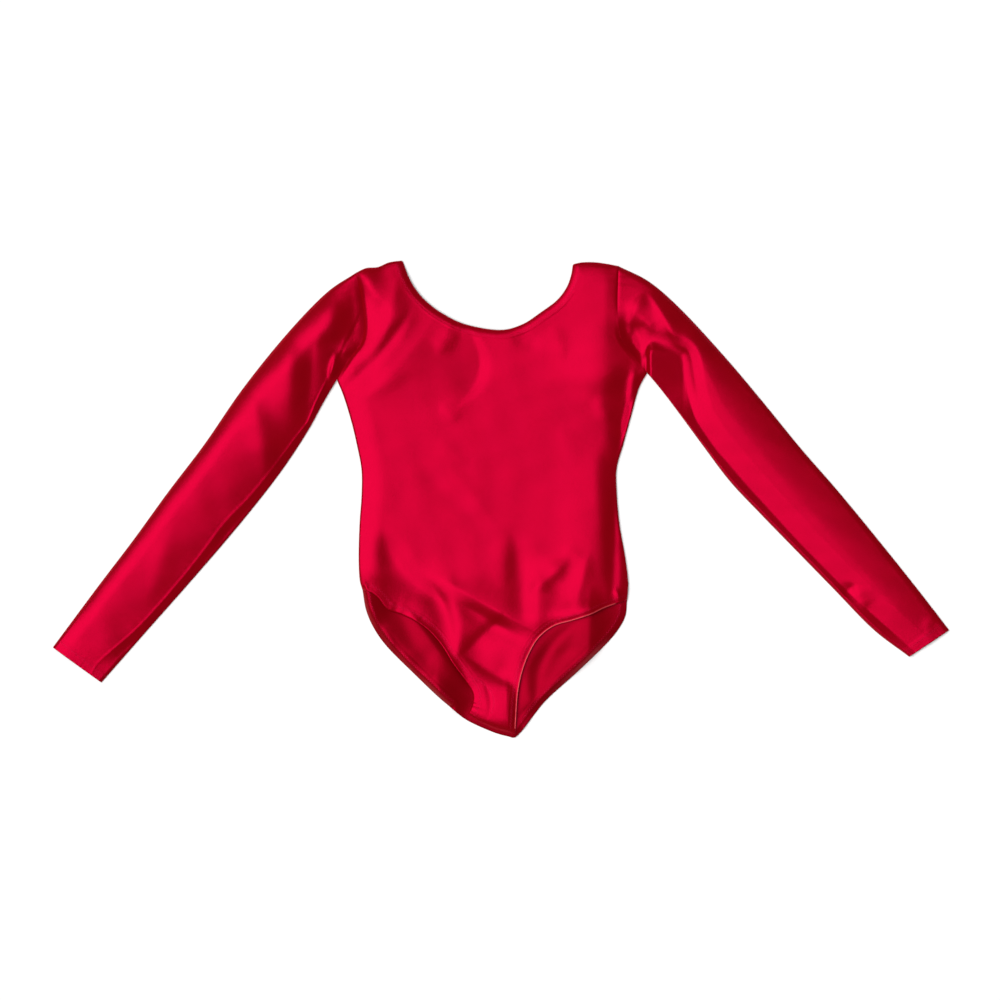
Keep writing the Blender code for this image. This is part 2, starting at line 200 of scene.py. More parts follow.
# Line on the right sleeve below which the cloth is turned under, from the underarm to the cuff
turnedLine = [
    (161, 156), (173, 154), (184, 151), (190, 147), (192, 135), (196, 114), (200, 98), (205, 83), (214, 69),
    (226, 52), (240, 36), (258, 15), (277, -6), (312, -44), (354, -87), (377, -109), (425, -152), (434, -160),
]
# The underarm seam where it shows on the left sleeve, from the underarm to the cuff
underarmLine = [
    (-176, 137), (-195, 98), (-201, 82), (-214, 65), (-237, 34), (-263, 2),
    (-289, -25), (-310, -53), (-337, -87), (-379, -134), (-421, -171), (-429, -183),
]


# Lengths of vectors on the plan
def planLength(vectors):
    return np.hypot(vectors[..., 0], vectors[..., 1])


# Curve through the points at shares of its length: cubics that pass each point in the direction from the
# point before it to the one after it, measured along and read evenly
def curveAt(points, shares):
    p = np.array(points, float)
    p = np.vstack([2 * p[0] - p[1], p, 2 * p[-1] - p[-2]])
    a, b, c, d = p[:-3, None], p[1:-2, None], p[2:-1, None], p[3:, None]
    t = np.linspace(0, 1, 16, endpoint=False)[:, None]
    fine = b + t / 2 * (c - a + t * (2 * a - 5 * b + 4 * c - d + t * (3 * (b - c) + d - a)))
    fine = np.vstack([fine.reshape(-1, 2), p[-2]])
    along = np.concatenate([[0], np.cumsum(planLength(np.diff(fine, axis=0)))])
    stops = np.asarray(shares) * along[-1]
    return np.column_stack([np.interp(stops, along, fine[:, k]) for k in (0, 1)])


# Edges that follow each other, each read over its own part of 0 to 1
def chainAt(names, breaks, shares):
    parts = []
    for name, low, high in zip(names, breaks, breaks[1:]):
        inside = shares[(shares >= low) & ((shares < high) | (high == 1))]
        parts.append(curveAt(edges[name], (inside - low) / (high - low)))
    return np.vstack(parts)


# Even shares from 0 to 1 with extra ones close to both ends
def edgeShares(count, near):
    near = np.array(near)
    return np.unique(np.round(np.concatenate([np.linspace(0, 1, count + 1), near, 1 - near]), 6))


# Plan of a panel: straight rows from left to right, bent towards the top and the bottom edge by the cube
# of the share that is left of the way there
def panelPlan(top, bottom, left, right, across, down):
    u, v = across[None, :, None], down[:, None, None]
    rows = (1 - u) * left[:, None] + u * right[:, None]
    return rows + (1 - v) ** 3 * (top - rows[0]) + v ** 3 * (bottom - rows[-1])


# Signed distance from a line, plus on its left hand, and how far along it the nearest point is:
# every point is dropped square on each segment, and the closest foot counts
def nearest(plan, line):
    best = np.full(plan.shape[:-1], np.inf)
    along, hand = np.zeros_like(best), np.ones_like(best)
    start = 0.0
    for a, b in zip(line, line[1:]):
        run = b - a
        length = planLength(run)
        off = plan - a
        t = np.clip(off @ run / length ** 2, 0, 1)
        distance = planLength(off - t[..., None] * run)
        closer = distance < best
        best[closer] = distance[closer]
        along[closer] = start + t[closer] * length
        hand[closer] = np.where(run[0] * off[..., 1] > run[1] * off[..., 0], 1, -1)[closer]
        start += length
    return best * hand, along


# Distance from the nearest of several named edges
def fromEdges(plan, *names):
    return np.minimum.reduce([np.abs(nearest(plan, lines[name])[0]) for name in names])


# 0 at an edge and 1 from width inwards: one minus the square of what is left of the way
def rise(distance, width):
    return 1 - (1 - np.clip(distance / width, 0, 1)) ** 2


# Smooth step from 0 to 1: 3t squared minus 2t cubed
def step(t):
    t = np.clip(t, 0, 1)
    return t * t * (3 - 2 * t)


# Bell round a place: e to the minus square of the distance over the width
def bell(distance, width):
    return np.exp(-(distance / width) ** 2)


# How far a rounded edge drops: a quarter circle of that radius, not quite upright at its foot
def roundOff(distance, radius):
    inside = 1 - np.clip(distance / radius, 0, 1)
    return radius * (1 - np.sqrt(1 - 0.98 * inside ** 2))


# Sum of the folds: height times e to the minus power of the distance over the width,
# lower and narrower towards both ends
def foldHeights(plan, folds):
    total = np.zeros(plan.shape[:-1])
    for x0, y0, x1, y1, bow, height, leftWidth, rightWidth, sharp in folds:
        start = np.array([x0, y0], float)
        run = np.array([x1 - x0, y1 - y0], float)
        length = planLength(run)
        run /= length
        off = plan - start
        t = off @ run / length
        aside = off @ np.array([-run[1], run[0]]) - 4 * bow * np.clip(t * (1 - t), 0, None)
        fade = step(t / 0.4) * step((1 - t) / 0.4)
        width = np.where(aside > 0, leftWidth, rightWidth) * (0.45 + 0.55 * fade)
        total += height * fade * np.exp(-(np.abs(aside) / width) ** (2 - sharp))
    return total * cloth["foldDepth"]


# Slow unevenness: sines of uneven pitch and direction, added up
def swell(plan, pitch, seed):
    dice = np.random.default_rng(seed)
    total = np.zeros(plan.shape[:-1])
    for turn, reach, start in dice.uniform((0, 0.7, 0), (pi, 1.6, 2 * pi), (9, 3)):
        total += np.sin(2 * pi / (pitch * reach) * (plan @ [np.cos(turn), np.sin(turn)]) + start)
    return total / 3


# Short gathers square to a seam: an uneven sine along it that dies away from it
def gathers(distance, along, pitch, reach, seed):
    a, b, c = np.random.default_rng(seed).uniform(0, 2 * pi, 3)
    turn = 2 * pi * along / pitch
    wave = np.sin(turn + 1.8 * np.sin(turn / 3.7 + a) + 0.9 * np.sin(turn / 8.3 + b))
    return wave * (0.55 + 0.45 * np.sin(turn / 5.3 + c)) * np.exp(-(np.abs(distance) / reach) ** 1.3)


# The edges as fine lines, and the names of the edges round each body panel
lines = {name: curveAt(points, np.linspace(0, 1, 4 * len(points))) for name, points in edges.items()}
sharedEdges = ["leftShoulder", "rightShoulder", "leftArmhole", "rightArmhole", "leftSide", "rightSide"]
rims = {
    side: sharedEdges + [side + part for part in ("Neck", "LeftLeg", "RightLeg", "Crotch")]
    for side in ("front", "back")
}

# Turned hems
hemLook = {
    "width": 8.5,
    "lift": 0.3,                # height of the raised band
    "fade": 1.6,                # over how far it ends
    "gather": 0.16,             # height of the gathers over the elastic
    "fineGathers": (6.5, 9),    # their pitch, and how far they reach in
    "wideGathers": (15, 20),    # the same for the larger ones
}
# Zigzag stitches on the hems, and the cord along the front's right leg
stitchLook = {
    "inset": 7.0,               # from the folded edge to the middle of the zigzag
    "rightLegInset": 5.5,       # the same on the front's right leg
    "swing": 1.1,               # half the zigzag's width
    "pitch": 1.5,               # from one corner to the next
    "thread": 0.2,              # thread radius
    "raised": 0.1,              # from the cloth up to the thread's middle
    "seatRaised": 0.3,          # the same on the back's inside
    "sunk": -0.14,              # the same under the garment, where the thread lies in a groove
    "groove": 0.3,              # depth of that groove
    "cord": 0.7,                # radius of the cord
    "cordInset": 1.0,           # from the edge to its middle
    "cordRaised": 0.25,
}


# A turned hem: a raised band with a groove along its end, and fine and wide gathers over it
def hemRelief(edge, along, seed, width=hemLook["width"], lift=hemLook["lift"], gather=hemLook["gather"]):
    edge = np.abs(edge)
    band = lift * (1 - step((edge - width) / hemLook["fade"])) - 0.5 * lift * bell(edge - width + 1, 1)
    fine = gathers(edge, along, *hemLook["fineGathers"], seed)
    wide = gathers(edge, along, *hemLook["wideGathers"], seed + 1)
    return band + gather * fine + 0.6 * gather * wide


# Groove for stitches that lie beneath: full depth within 1.8 of their line and gone 1.2 further out
def threadGroove(offLine):
    return stitchLook["groove"] * (1 - step((np.abs(offLine) - 1.8) / 1.2))


# Length of a named edge: the sum of its segments
def lineLength(name):
    return planLength(np.diff(lines[name], axis=0)).sum()


# Armhole seams
armholeLook = {
    "leftArmhole": 0.6,         # how far the seam stands above the side seams
    "rightArmhole": 3.4,
    "arch": 0.35,               # power of its half sine: lower is flatter
    "rampWidth": 3.2,           # width of the ramp beside the left seam
    "rampReach": 14,            # how far the cloth behind the ramp takes to come down
    "fall": 0.55,               # drop to the right seam near the shoulder
    "fallWidth": 2.6,
}


# Height of an armhole seam above the side seams: a low power of a half sine along it
def armholeLift(name, along):
    arch = np.clip(np.sin(pi * np.clip(along / lineLength(name), 0, 1)), 0, 1)
    return armholeLook[name] * arch ** armholeLook["arch"]


# 1 near the shoulder, then a smooth step down to 0 from 25 to 55 along the armhole
def nearShoulder(along):
    return step((55 - along) / 30)


# Relief of the front beside an armhole seam. Left: a ramp from the seam that then dies away as a bell;
# right: a narrow fall to the seam, near the shoulder only
def seamRelief(name, arm, along):
    width = armholeLook["rampWidth"]
    if name == "leftArmhole":
        return np.minimum(arm / width, bell(np.clip(arm - width, 0, None), armholeLook["rampReach"]))
    return -armholeLook["fall"] * (1 - rise(arm, armholeLook["fallWidth"])) * nearShoulder(along)


# Back panel
seatLook = {
    "loft": 1.2,                # height of the seat above the surface in the leg openings
    "roll": 17.0,               # width of its roll beside the legs
    "hips": -56,                # y below which the seat lifts
    "hipFade": 62,              # over how far it does
    "crotch": (-4, -246),       # middle of the crotch seam, where the seat comes down again
    "crotchReach": 26.0,        # the low roll there holds to 0.8 of this and is gone at 1.8
    "crotchLift": 1.6,          # height of that roll
    "openings": -120,           # y below which the back's inside shows
    "hollowShows": 0.8,         # share of a hollow beneath that the upper side follows
}


# Height of the back panel's underside: loft and folds that rise inwards from the leg edges, below the
# hips only, with a low roll in their place beside the crotch seam
def seatLift(plan):
    belowHips = step((seatLook["hips"] - plan[..., 1]) / seatLook["hipFade"])
    clearOfCrotch = step(planLength(plan - seatLook["crotch"]) / seatLook["crotchReach"] - 0.8)
    edge = fromEdges(plan, "backLeftLeg", "backRightLeg")
    lift = seatLook["loft"] * rise(edge, seatLook["roll"]) + foldHeights(plan, seatFolds) * rise(edge, 6)
    crotch = seatLook["crotchLift"] * rise(fromEdges(plan, "backCrotch"), 8) * (1 - clearOfCrotch)
    return belowHips * (clearOfCrotch * np.clip(lift, 0, None) + crotch)


# Height of the back panel's upper side: the wall on the seat's lift, plus hems and a slow unevenness
# where it shows in the leg openings
def backTop(plan):
    leftLeg, leftAlong = nearest(plan, lines["backLeftLeg"])
    rightLeg, rightAlong = nearest(plan, lines["backRightLeg"])
    inOpenings = step((seatLook["openings"] - plan[..., 1]) / 20)
    hems = hemRelief(leftLeg, leftAlong, 41, width=9, lift=0.2, gather=0.3)
    hems += hemRelief(rightLeg, rightAlong, 43, width=9, lift=0.2, gather=0.2)
    relief = np.clip(hems + 0.12 * swell(plan, 22, 45), -0.1, 0.6)
    return cloth["wall"] + seatLift(plan) + inOpenings * relief


# Height of the back panel's underside with hollows that keep clear of its edges and the stitches' grooves
def backUnder(plan):
    edge = np.abs([nearest(plan, lines[name])[0] for name in ("backNeck", "backLeftLeg", "backRightLeg")])
    groove = threadGroove(edge - stitchLook["inset"]).max(axis=0)
    hollow = np.clip(foldHeights(plan, backFolds), 0, None) * rise(fromEdges(plan, *rims["back"]) - 4, 20)
    return seatLift(plan) + hollow + groove


# Front panel
frontLook = {
    "edge": 2.7,                # height of its upper side at the side seams
    "loft": 3.4,                # how far the front stands above that
    "seamRoll": 24.0,           # width of the roll beside a side seam
    "freeRoll": 13.0,           # the same beside the neckline and the legs
    "freeLoft": 0.65,           # share of the loft left at a free edge
    "armRoll": 16.0,            # distance over which the front comes to an armhole seam
    "armGather": 0.22,          # height of the gathers beside the armholes
    "sideGather": 0.10,         # the same beside the side seams
    "neckDrop": 1.4,            # how far the neck hem bends down to its edge
    "legRidge": 0.32,           # ridge along the edge of the right leg
}


# Height of the front's upper side: a loft that rises from the seams, less so at the free edges, and
# meets each armhole seam at its own height, with the folds, gathers and hems added to it
def frontTop(plan):
    seam = fromEdges(plan, "leftShoulder", "rightShoulder", "leftSide", "rightSide", "frontCrotch")
    neck, neckAlong = nearest(plan, lines["frontNeck"])
    leftLeg, leftAlong = nearest(plan, lines["frontLeftLeg"])
    rightLeg, rightAlong = nearest(plan, lines["frontRightLeg"])
    free = np.minimum.reduce([np.abs(neck), np.abs(leftLeg), np.abs(rightLeg)])
    height = frontLook["loft"] * rise(seam, frontLook["seamRoll"])
    height *= frontLook["freeLoft"] + (1 - frontLook["freeLoft"]) * rise(free, frontLook["freeRoll"])
    height += cloth["swell"] * swell(plan, 34, 3) * rise(np.minimum(seam, free), 20)
    folds = foldHeights(plan, frontFolds) * rise(seam, 6) * (0.5 + 0.5 * rise(free, 7))
    for name, seed in (("leftArmhole", 11), ("rightArmhole", 14)):
        arm, along = nearest(plan, lines[name])
        arm = np.abs(arm)
        share = rise(arm, frontLook["armRoll"])
        height = height * share + armholeLift(name, along) * (1 - share)
        height += seamRelief(name, arm, along) + frontLook["armGather"] * gathers(arm, along, 9, 12, seed)
        folds *= rise(arm, 5)
    height += folds
    height += hemRelief(neck, neckAlong, 21, gather=0.07)
    height -= frontLook["neckDrop"] * (1 - rise(np.abs(neck), 7))
    height += hemRelief(leftLeg, leftAlong, 23, lift=0.12, gather=0.2)
    height += hemRelief(rightLeg, rightAlong, 27, lift=0.08)
    height += frontLook["legRidge"] * bell(np.abs(rightLeg) - 1, 1)
    for name, seed in (("leftSide", 31), ("rightSide", 33)):
        side, along = nearest(plan, lines[name])
        height += frontLook["sideGather"] * gathers(side, along, 13, 9, seed)
    top = frontLook["edge"] + np.clip(height, -0.5, None) + seatLift(plan)
    return top - 0.85 * roundOff(np.minimum(seam, free), 1.6)


# Mesh of grids of points, each (rows, columns, 3), with a quad between every four neighbours. Ringed
# grids close round each row, a strip of quads joins two loops of vertex numbers, and caps close a tube.
def makeMesh(name, grids, strips=(), ringed=False, capped=False):
    count, faces, groups, caps = 0, [], [], []
    for k, (points, flipped) in enumerate(grids):
        rows, columns = points.shape[:2]
        number = np.arange(count, count + rows * columns).reshape(rows, columns)
        if ringed:
            number = np.concatenate([number, number[:, :1]], axis=1)
        if capped:
            ends = [number[0, :-1].tolist(), number[-1, -2::-1].tolist()]
            caps += [end[::-1] for end in ends] if flipped else ends
        corners = [number[:-1, :-1], number[1:, :-1], number[1:, 1:], number[:-1, 1:]]
        quads = np.stack(corners, -1).reshape(-1, 4)
        faces.append(quads[:, ::-1] if flipped else quads)
        groups.append(np.full(len(quads), k))
        count += rows * columns
    for a, b in strips:
        faces.append(np.stack([a[:-1], a[1:], b[1:], b[:-1]], -1))
        groups.append(np.zeros(len(a) - 1, int))
    groups.append(np.zeros(len(caps), int))
    mesh = bpy.data.meshes.new(name)
    vertices = np.concatenate([points.reshape(-1, 3) for points, _ in grids]) * mm
    mesh.from_pydata(vertices.tolist(), [], np.concatenate(faces).tolist() + caps)
    mesh.polygons.foreach_set("material_index", np.concatenate(groups).astype(np.int32))
    mesh.shade_smooth()
    piece = bpy.data.objects.new(name, mesh)
    bpy.context.scene.collection.objects.link(piece)
    return piece


# Numbers of a grid's border, all the way round
def border(rows, columns, first=0):
    number = np.arange(first, first + rows * columns).reshape(rows, columns)
    return np.concatenate([number[0], number[1:, -1], number[-1, -2::-1], number[-2::-1, 0]])


# A panel: an upper and a lower side over one plan, joined by a strip round their rim
def panelShell(name, plan, top, bottom):
    rows, columns = plan.shape[:2]
    upper, lower = np.dstack([plan, top]), np.dstack([plan, bottom])
    rim = border(rows, columns), border(rows, columns, rows * columns)
    return makeMesh(name, [(upper, False), (lower, True)], [rim])


# Puts its materials on a piece and says its body and the node that it takes the place of
def dress(piece, node, materials):
    for material in materials:
        piece.data.materials.append(material)
    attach(piece, "root")
    if node:
        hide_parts(node)
    return piece


# Materials
knitLook = {
    "ribs": 520,                # scale of the upright ribs
    "rows": 620,                # scale of the rows across them
    "fuzz": 260,                # scale of the fine fuzz
    "patches": 38,              # scale of the slow patches of shade
    "depth": 0.00005,           # depth of the relief in metres
    "mottle": 0.06,             # how much lighter and darker the patches make the body
}
# Body colour, sheen colour, the sheen's share and roughness, and the strength of the knit's relief
finishes = {
    "red satin": ((0.245, 0.0003, 0.0022), (0.95, 0.002, 0.072), 0.152, 0.3, 0.35),
    # The inside's body is darker than the outside's as painted shade between the garment's layers in the leg
    # openings; its smaller, rougher sheen is the duller wrong side of the knit
    "red cloth inside with painted shade": ((0.195, 0.0003, 0.0022), (0.85, 0.002, 0.055), 0.1, 0.36, 0.35),
    # The cord's pale red is a painted highlight on the raised edge of the front's right leg
    "pale red cord, painted highlight": ((0.5, 0.035, 0.045), (0.95, 0.11, 0.16), 0.2, 0.35, 0.35),
    "red thread": ((0.42, 0.004, 0.02), (0.95, 0.02, 0.14), 0.2, 0.3, 0.35),
}


# A texture node that reads Object coordinates
def objectTexture(group, place, kind, **values):
    texture = group.nodes.new(kind)
    for name, value in values.items():
        texture.inputs[name].default_value = value
    group.links.new(place.outputs["Object"], texture.inputs["Vector"])
    return texture


# A maths node of the given operation with set values on some of its inputs
def mathsNode(group, operation, values):
    maths = group.nodes.new("ShaderNodeMath")
    maths.operation = operation
    for number, value in values.items():
        maths.inputs[number].default_value = value
    return maths


# Relief of the knit: height is ribs plus half the rows plus 1.4 times the fuzz. Shade goes from one minus
# the mottle to one plus it, from the darkest to the lightest patches
def knitGroup():
    group = bpy.data.node_groups.new("knit relief", "ShaderNodeTree")
    group.interface.new_socket("Relief", in_out="INPUT", socket_type="NodeSocketFloat")
    group.interface.new_socket("Mottle", in_out="INPUT", socket_type="NodeSocketFloat")
    group.interface.new_socket("Normal", in_out="OUTPUT", socket_type="NodeSocketVector")
    group.interface.new_socket("Shade", in_out="OUTPUT", socket_type="NodeSocketFloat")
    nodes, links = group.nodes, group.links
    given, out = nodes.new("NodeGroupInput"), nodes.new("NodeGroupOutput")
    place = nodes.new("ShaderNodeTexCoord")
    ribs = objectTexture(group, place, "ShaderNodeTexWave", Scale=knitLook["ribs"], Distortion=0.6, Detail=1)
    rows = objectTexture(group, place, "ShaderNodeTexWave", Scale=knitLook["rows"], Distortion=0.8)
    rows.bands_direction = "Y"
    fuzz = objectTexture(group, place, "ShaderNodeTexNoise", Scale=knitLook["fuzz"], Detail=3)
    patches = objectTexture(group, place, "ShaderNodeTexNoise", Scale=knitLook["patches"], Detail=4)
    ribsAndRows = mathsNode(group, "MULTIPLY_ADD", {1: 0.5})
    height = mathsNode(group, "MULTIPLY_ADD", {1: 1.4})
    bump = nodes.new("ShaderNodeBump")
    bump.inputs["Distance"].default_value = knitLook["depth"]
    darkest = mathsNode(group, "SUBTRACT", {0: 1})
    lightest = mathsNode(group, "ADD", {0: 1})
    shade = nodes.new("ShaderNodeMapRange")
    shade.inputs["From Min"].default_value = 0.3
    shade.inputs["From Max"].default_value = 0.7
    links.new(rows.outputs["Fac"], ribsAndRows.inputs[0])
    links.new(ribs.outputs["Fac"], ribsAndRows.inputs[2])
    links.new(fuzz.outputs["Fac"], height.inputs[0])
    links.new(ribsAndRows.outputs[0], height.inputs[2])
    links.new(height.outputs[0], bump.inputs["Height"])
    links.new(given.outputs["Relief"], bump.inputs["Strength"])
    links.new(given.outputs["Mottle"], darkest.inputs[1])
    links.new(given.outputs["Mottle"], lightest.inputs[1])
    links.new(patches.outputs["Fac"], shade.inputs["Value"])
    links.new(darkest.outputs[0], shade.inputs["To Min"])
    links.new(lightest.outputs[0], shade.inputs["To Max"])
    links.new(bump.outputs["Normal"], out.inputs["Normal"])
    links.new(shade.outputs["Result"], out.inputs["Shade"])
    return group


# Shiny knit: a deep red body, times the knit's shade, under a coloured sheen mixed in by a fixed share
def satin(name, body, sheen, share, roughness, relief):
    material = bpy.data.materials.new(name)
    material.use_nodes = True
    nodes, links = material.node_tree.nodes, material.node_tree.links
    base = nodes["Principled BSDF"]
    base.inputs["Roughness"].default_value = 0.65
    base.inputs["Specular IOR Level"].default_value = 0.15
    base.inputs["Specular Tint"].default_value = (1, 0.02, 0.12, 1)
    base.inputs["Base Color"].default_value = (*body, 1)
    gloss = nodes.new("ShaderNodeBsdfPrincipled")
    gloss.inputs["Base Color"].default_value = (*sheen, 1)
    gloss.inputs["Metallic"].default_value = 1
    gloss.inputs["Roughness"].default_value = roughness
    gloss.inputs["Specular Tint"].default_value = (0.8, 0.02, 0.1, 1)
    knit = nodes.new("ShaderNodeGroup")
    knit.node_tree = knitRelief
    knit.inputs["Relief"].default_value = relief
    knit.inputs["Mottle"].default_value = knitLook["mottle"]
    tint = nodes.new("ShaderNodeVectorMath")
    tint.operation = "SCALE"
    tint.inputs[0].default_value = body
    mix = nodes.new("ShaderNodeMixShader")
    mix.inputs["Fac"].default_value = share
    links.new(knit.outputs["Shade"], tint.inputs["Scale"])
    links.new(tint.outputs["Vector"], base.inputs["Base Color"])
    for shader in (base, gloss):
        links.new(knit.outputs["Normal"], shader.inputs["Normal"])
    links.new(base.outputs["BSDF"], mix.inputs[1])
    links.new(gloss.outputs["BSDF"], mix.inputs[2])
    links.new(mix.outputs["Shader"], nodes["Material Output"].inputs["Surface"])
    return material


knitRelief = knitGroup()
outside, inside, cordPaintedHighlight, threadRed = [satin(name, *values) for name, values in finishes.items()]
print("materials made")

# Front and back: cells across and down, and extra lines beside both edges
bodyShares = {
    "front": ((150, np.linspace(0.0012, 0.034, 9)), (226, np.linspace(0.0008, 0.028, 9))),
    "back": ((110, (0.0012, 0.003, 0.006)), (170, (0.0008, 0.002, 0.0036))),
}
topBreaks = (0, 0.143, 0.857, 1)        # shares across at which the neckline starts and ends
sideBreaks = (0, 0.195, 0.634, 1)       # shares down at which the side seam starts and ends


# Plan of a body panel: its four sides read at the shares across and down, and filled
def bodyPlan(side):
    across, down = [edgeShares(*values) for values in bodyShares[side]]
    top = chainAt(["leftShoulder", side + "Neck", "rightShoulder"], topBreaks, across)
    left = chainAt(["leftArmhole", "leftSide", side + "LeftLeg"], sideBreaks, down)
    right = chainAt(["rightArmhole", "rightSide", side + "RightLeg"], sideBreaks, down)
    return panelPlan(top, curveAt(edges[side + "Crotch"], across), left, right, across, down)


frontPlan = bodyPlan("front")
frontRim = fromEdges(frontPlan, *rims["front"])
frontHeights = frontTop(frontPlan)
frontBottom = frontHeights - cloth["wall"] + 1.3 * roundOff(frontRim, 0.6)
front = panelShell("front_cloth", frontPlan, frontHeights, frontBottom)
dress(front, "front_panel", [outside, inside])

backPlan = bodyPlan("back")
backRim = fromEdges(backPlan, *rims["back"])
underside = backUnder(backPlan)
hollows = underside - seatLift(backPlan)
backHeights = backTop(backPlan) + seatLook["hollowShows"] * hollows - roundOff(backRim, 0.5)
back = panelShell("back_cloth", backPlan, backHeights, underside + roundOff(backRim, 0.45))
# The back's upper side is the cloth's inside, whose darker body is painted shade where it shows in the leg
# openings
dress(back, "back_panel", [inside, outside])
print("front and back made")

# Sleeves
sleeveLook = {
    "lip": 1.1,                 # height of the fold line along the sleeve's two edges
    "leftLoft": 7.8,            # height of the crest above the side seams, on a sleeve 100 wide
    "rightLoft": 5.3,
    "leftCrest": 0.26,          # where the crest lies across, as a share from the upper edge
    "rightCrest": 0.58,         # the same as a share of the way to the line where the cloth turns under
    "headRoll": 48.0,           # how far from the armhole the sleeve comes down to it
    "cuffFlat": 60.0,           # how far from the cuff the sleeve gets lower, down to a half
    "cuffHem": 11.0,            # width of the turned hem
    "cuffStitch": 9.0,          # from the cuff to the middle of its zigzag
    "seamRidge": 0.6,           # height of the underarm seam where it shows on the left sleeve
    "seamFall": 1.1,            # how far the cloth drops beyond it
    "turnedSlope": 0.22,        # slope from that line up to the underarm edge
    "rings": 280,               # from the armhole to the cuff
    "around": 64,               # cells over the upper side, and as many beneath
}
# Pocket in the right sleeve beside the armhole, under the arm
pocketLook = {
    "start": 152,               # x where it starts, beside the armhole
    "end": 192,                 # x where its floor has come down
    "slope": 0.17,              # of the floor
    "length": 95,               # how far along the turned line it reaches
    "wall": 10,                 # width of the wall up to the sleeve's crest
}


# Crest across a sleeve: it rises by the given power, then drops by the given share at a power of 1.5
def crestShape(share, crest, drop, power):
    up = 1 - (1 - np.clip(share / crest, 0, 1)) ** power
    fall = 1 - drop * np.clip((share - crest) / (1 - crest), 0, 1) ** 1.5
    return np.where(share < crest, up, fall)


# Plan of a flattened sleeve at shares along and across: straight sections bowed near the armhole
def sleevePlan(sections, armhole, along, acrossShares):
    upper = curveAt([s[0:2] for s in sections], along)[:, None]
    under = curveAt([s[2:4] for s in sections], along)[:, None]
    seam = curveAt(edges[armhole], acrossShares)
    w = acrossShares[None, :, None]
    bow = seam - (1 - w[0]) * seam[0] - w[0] * seam[-1]
    fade = (1 - step(2.2 * along))[:, None, None]
    return (1 - w) * upper + w * under + fade * bow


# Distance of every ring from the cuff, from upper edge to upper edge
def fromCuff(plan):
    return np.linalg.norm(plan[:, :1] - plan[-1:, :1], axis=-1)


# Distances from the upper edge and from the underarm edge, along each ring
def fromSides(plan):
    return planLength(plan - plan[:, :1]), planLength(plan - plan[:, -1:])


# Left sleeve: its crest, a thin ridge along the underarm seam that shows, and a drop beyond the ridge
def leftCrown(plan, fromUpper, width, cuff):
    height = sleeveLook["leftLoft"] * width / 100
    height = height * crestShape(fromUpper / width, sleeveLook["leftCrest"], 1, 2)
    seam, seamAlong = nearest(plan, curveAt(underarmLine, np.linspace(0, 1, 40)))
    ridge = sleeveLook["seamRidge"] - 0.28 * step(seamAlong / 130)
    height += ridge * bell(seam, 1.2) - sleeveLook["seamFall"] * step(seam / 9) * step(cuff / 60)
    return height + 0.12 * gathers(seam, seamAlong, 8, 8, 51)


# Right sleeve: its crest, half as high beside the line where the cloth turns under, and a slope from
# that line up to the underarm edge
def rightCrown(fromUpper, width, line):
    share = fromUpper / (fromUpper + np.clip(line, 0.01, None))
    height = sleeveLook["rightLoft"] * width / 100
    height = height * crestShape(share, sleeveLook["rightCrest"], 0.35, 1.5)
    height *= 0.5 + 0.5 * np.clip(line / 20, 0, 1)
    return height + sleeveLook["turnedSlope"] * np.clip(-line, 0, 34)


# Change of height that makes the pocket: down to a floor that slopes with x, and back to nothing along
# the turned line, beside the armhole and up a wall
def pocketDrop(plan, height, line, lineAlong):
    x = plan[..., 0]
    share = step((pocketLook["length"] - lineAlong) / 45) * step((x - pocketLook["start"]) / 6)
    share *= 1 - np.clip(line / pocketLook["wall"], 0, 1)
    return share * (pocketLook["slope"] * np.clip(pocketLook["end"] - x, 0, 34) - height)


# Height of a sleeve's upper side: its crown, lower at the cuff and blended to the armhole seam's height,
# then the folds, gathers and cuff hem, all on a lip that rises from the two folded edges
def sleeveTop(plan, hand, armhole, folds):
    fromUpper, fromUnder = fromSides(plan)
    width = fromUpper[:, -1:]
    edge = np.minimum(fromUpper, fromUnder)
    arm, armAlong = nearest(plan, lines[armhole])
    arm = np.abs(arm)
    cuff = fromCuff(plan)
    if hand == "left":
        height = leftCrown(plan, fromUpper, width, cuff)
    else:
        line, lineAlong = nearest(plan, curveAt(turnedLine, np.linspace(0, 1, 60)))
        height = rightCrown(fromUpper, width, line)
    height *= 0.5 + 0.5 * step(cuff / sleeveLook["cuffFlat"])
    lower = step((armAlong - 40) / 30) * (hand == "right")      # rises more slowly under the right arm
    fade = (1 - lower) * rise(arm, sleeveLook["headRoll"]) + lower * step(arm / 60)
    height = height * fade + armholeLift(armhole, armAlong) * (1 - rise(arm, 30))
    if hand == "right":
        height += pocketDrop(plan, height, line, lineAlong)
        height -= 0.5 * (1 - rise(arm, armholeLook["fallWidth"])) * nearShoulder(armAlong)
        height -= 1.2 * (1 - rise(fromUpper, 7))
    height += foldHeights(plan, folds) * rise(edge, 8) * rise(arm, 10)
    height += cloth["swell"] * swell(plan, 30, 55 + len(hand)) * rise(edge, 14)
    height += 0.2 * gathers(arm, armAlong, 10, 12, 57)
    height += hemRelief(cuff, fromUpper, 59, sleeveLook["cuffHem"], 0.25, 0.05)
    top = sleeveLook["lip"] + (frontLook["edge"] - sleeveLook["lip"]) * rise(edge, 3.2)
    return top + np.clip(height, -0.6, None) * rise(edge, 3)


# Inner side of a sleeve's rings: every point moved towards the one across from it by the wall, and by
# less where they are close
def insideOf(ring):
    middle = (ring + np.concatenate([ring[:, :1], ring[:, :0:-1]], axis=1)) / 2
    inward = middle - ring
    depth = np.linalg.norm(inward, axis=-1, keepdims=True)
    inset = ring + inward / np.maximum(depth, 0.001) * np.minimum(depth * 0.8, cloth["wall"])
    half = sleeveLook["around"]
    inset[:, [0, half]] = (inset[:, [1, half + 1]] + inset[:, [-1, half - 1]]) / 2
    return inset


